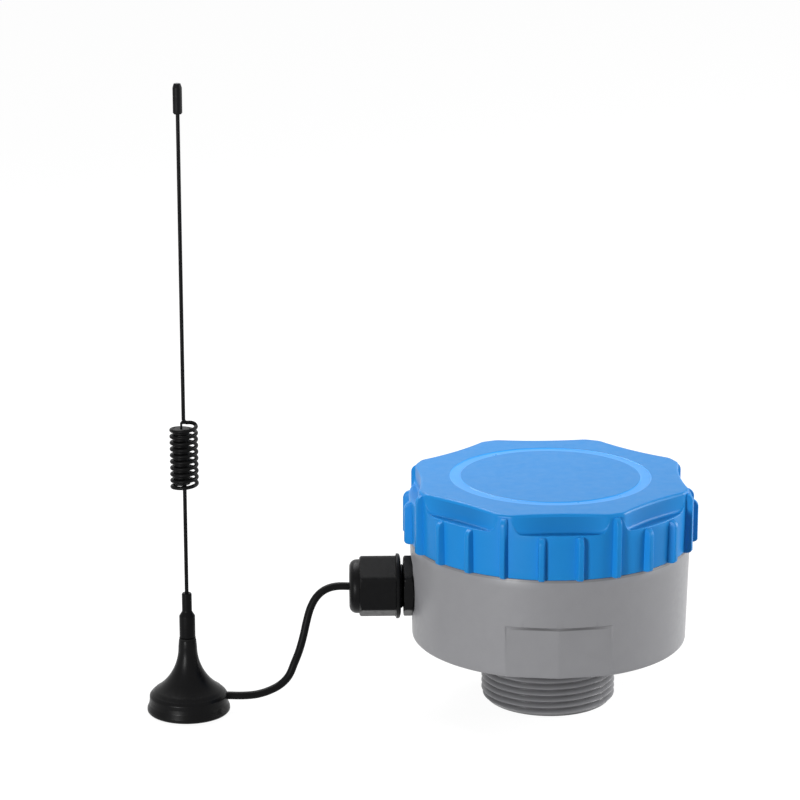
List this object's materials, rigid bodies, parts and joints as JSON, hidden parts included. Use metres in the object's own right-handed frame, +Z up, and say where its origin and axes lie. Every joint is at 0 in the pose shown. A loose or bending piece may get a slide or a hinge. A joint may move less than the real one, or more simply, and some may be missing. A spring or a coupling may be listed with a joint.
{
  "type": "radar level transmitter",
  "caption": "Round radar level sensor with a threaded process neck, a lobed screw cover and a coil-loaded whip antenna on a magnetic foot, wired in through a cable gland.",
  "frame": {"origin": "centre of the process neck's end face, which stands on the surface", "axes": "+Z up along the housing's and cover's axis; -X along the cable gland, towards the antenna"},
  "size_m": [0.1955, 0.1042, 0.2249],
  "materials": {
    "cover_blue": "gloss",
    "housing_grey": "matte",
    "rubber": "matte",
    "ptfe": "matte",
    "aluminium": "satin",
    "steel": "satin",
    "board_green": "matte",
    "brass": "satin",
    "black_plastic": "matte",
    "cell_can": "satin",
    "black_gloss": "gloss",
    "black_wire": "satin"
  },
  "bodies": {
    "instrument": {"housing": "housing_grey", "radar_lens": "ptfe", "lens_seal": "rubber", "lens_retainer": "aluminium", "horn": "aluminium", "horn_screws": "steel", "main_board": "board_green", "radar_module": "steel", "radio_module": "steel", "coax_plug": "brass", "standoffs": "brass", "battery_holder": "black_plastic", "holder_screws": "steel", "battery_cells": "cell_can", "battery_contacts": "steel", "gland_body": "black_plastic", "gland_washer": "rubber", "gland_locknut": "black_plastic", "antenna_cable": "rubber", "antenna_base": "black_gloss", "magnet": "steel", "foot_pad": "rubber", "base_stud": "brass"},
    "cover_thread": {"cover_seal": "rubber"},
    "cover": {"cover": "cover_blue"},
    "gland_thread": {"gland_seal": "rubber"},
    "gland_nut": {"gland_nut": "black_plastic"},
    "whip_thread": {"whip_gasket": "rubber"},
    "whip": {"whip_ferrule": "black_wire", "whip_wire": "black_wire", "coil_core": "black_plastic", "whip_tip": "black_plastic"}
  },
  "joints": [
    {"name": "cover_turn", "type": "hinge", "parent": "instrument", "child": "cover_thread", "pos_m": [0, 0, 0.0598], "axis": [0, 0, 1], "range_deg": [0, 1080]},
    {"name": "cover_lift", "type": "slide", "parent": "cover_thread", "child": "cover", "axis": [0, 0, 1], "range_m": [0, 0.009]},
    {"name": "gland_turn", "type": "hinge", "parent": "instrument", "child": "gland_thread", "pos_m": [-0.0489, 0, 0.0419], "axis": [-1, 0, 0], "range_deg": [0, 1080]},
    {"name": "gland_travel", "type": "slide", "parent": "gland_thread", "child": "gland_nut", "axis": [-1, 0, 0], "range_m": [0, 0.0045]},
    {"name": "whip_turn", "type": "hinge", "parent": "instrument", "child": "whip_thread", "pos_m": [-0.1287, -0.0122, 0.0269], "axis": [0, 0, 1], "range_deg": [0, 2880]},
    {"name": "whip_lift", "type": "slide", "parent": "whip_thread", "child": "whip", "axis": [0, 0, 1], "range_m": [0, 0.004]}
  ],
  "couplings": [
    {"joint": "cover_turn", "follows": "cover_lift", "rad_per_m": 2094.4},
    {"joint": "gland_turn", "follows": "gland_travel", "rad_per_m": 4188.8},
    {"joint": "whip_turn", "follows": "whip_lift", "rad_per_m": 12566}
  ]
}
